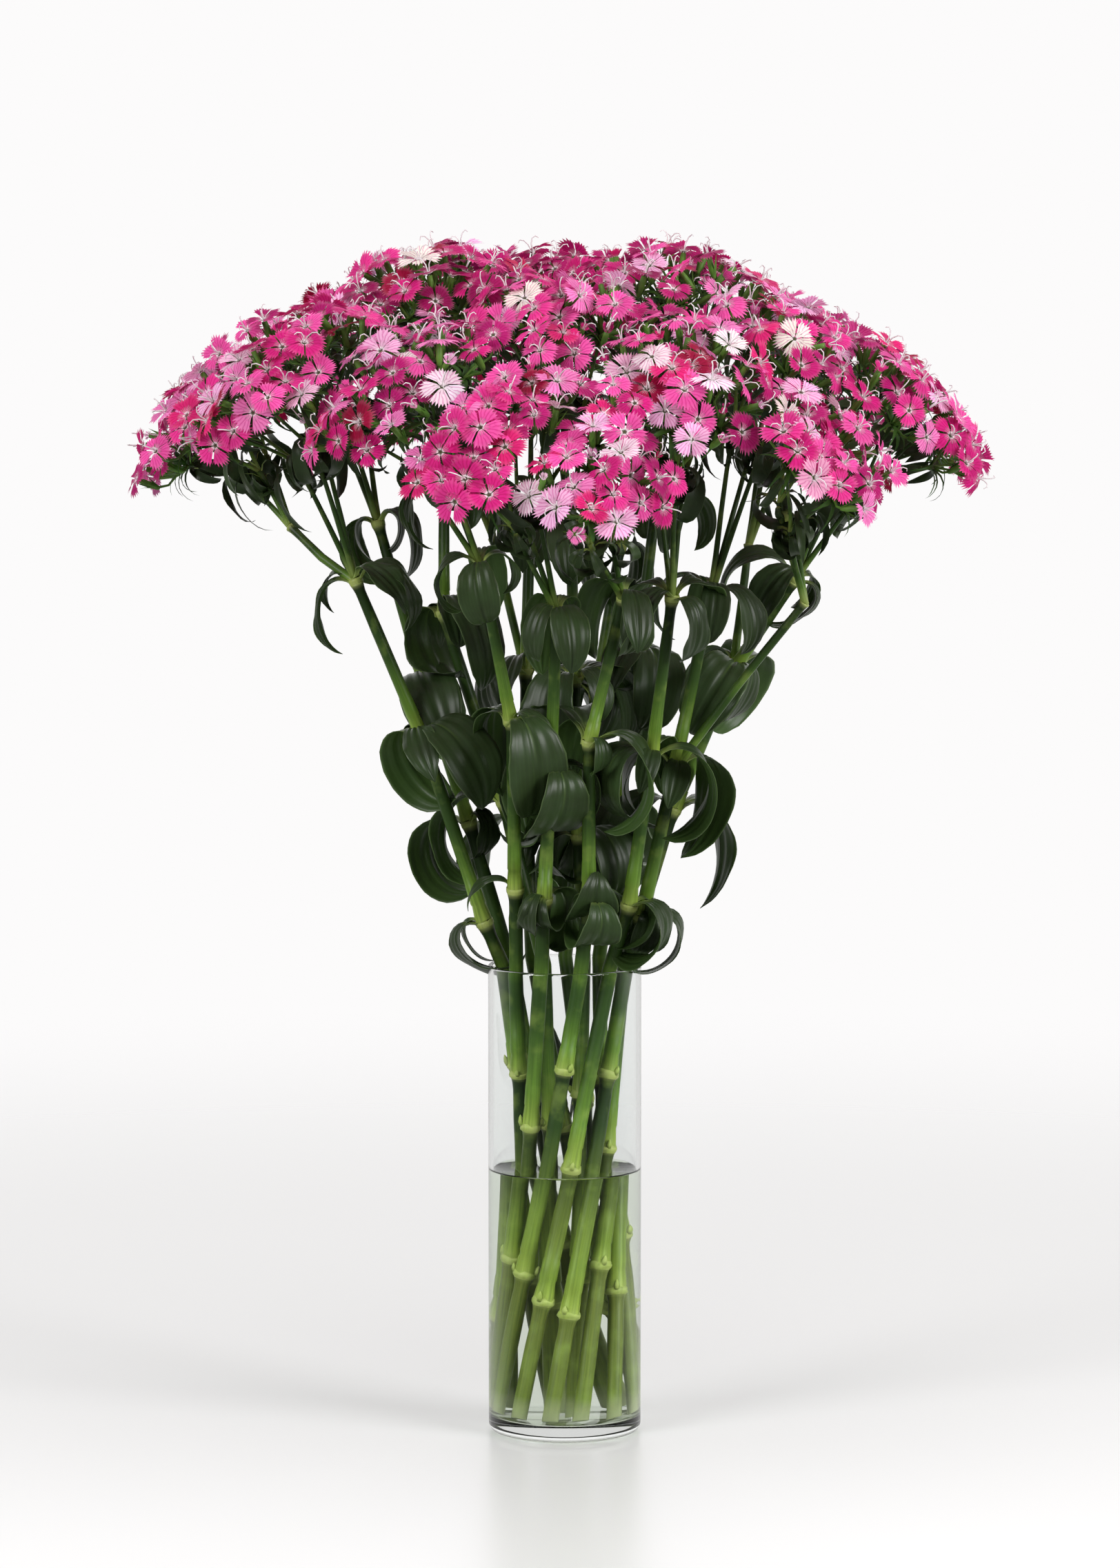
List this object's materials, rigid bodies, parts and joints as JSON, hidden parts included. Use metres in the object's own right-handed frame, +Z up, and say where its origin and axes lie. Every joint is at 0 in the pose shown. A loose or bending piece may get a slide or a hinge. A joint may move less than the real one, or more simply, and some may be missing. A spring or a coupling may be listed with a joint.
{
  "type": "bunch of cut dianthus in a glass cylinder vase",
  "caption": "Long leafy cut stems with fringed pink, white and crimson bloom heads in a wide dome, standing in a clear straight glass vase of water.",
  "frame": {"origin": "middle of the vase's flat underside, on the surface that it stands on", "axes": "+Z up along the vase; the picture looks along +Y, so -Y is the front and +X is the right"},
  "size_m": [0.5321, 0.4341, 0.7565],
  "materials": {
    "glass": "clear, polished",
    "water": "clear still water",
    "foliage": "semi-gloss dark green leaf and stalk",
    "petals": "velvety matt petal"
  },
  "bodies": {
    "root": {"vase": "glass", "water": "water", "stem_01": "foliage", "stem_02": "foliage", "stem_03": "foliage", "stem_04": "foliage", "stem_05": "foliage", "stem_06": "foliage", "stem_07": "foliage", "stem_08": "foliage", "stem_09": "foliage", "stem_10": "foliage", "stem_11": "foliage", "stem_12": "foliage", "stem_13": "foliage", "head_01": "petals", "head_02": "petals", "head_03": "petals", "head_04": "petals", "head_05": "petals", "head_06": "petals", "head_07": "petals", "head_08": "petals", "head_09": "petals", "head_10": "petals", "head_11": "petals", "head_12": "petals", "head_13": "petals", "head_14": "petals", "head_15": "petals", "head_16": "petals", "head_17": "petals"}
  },
  "joints": []
}
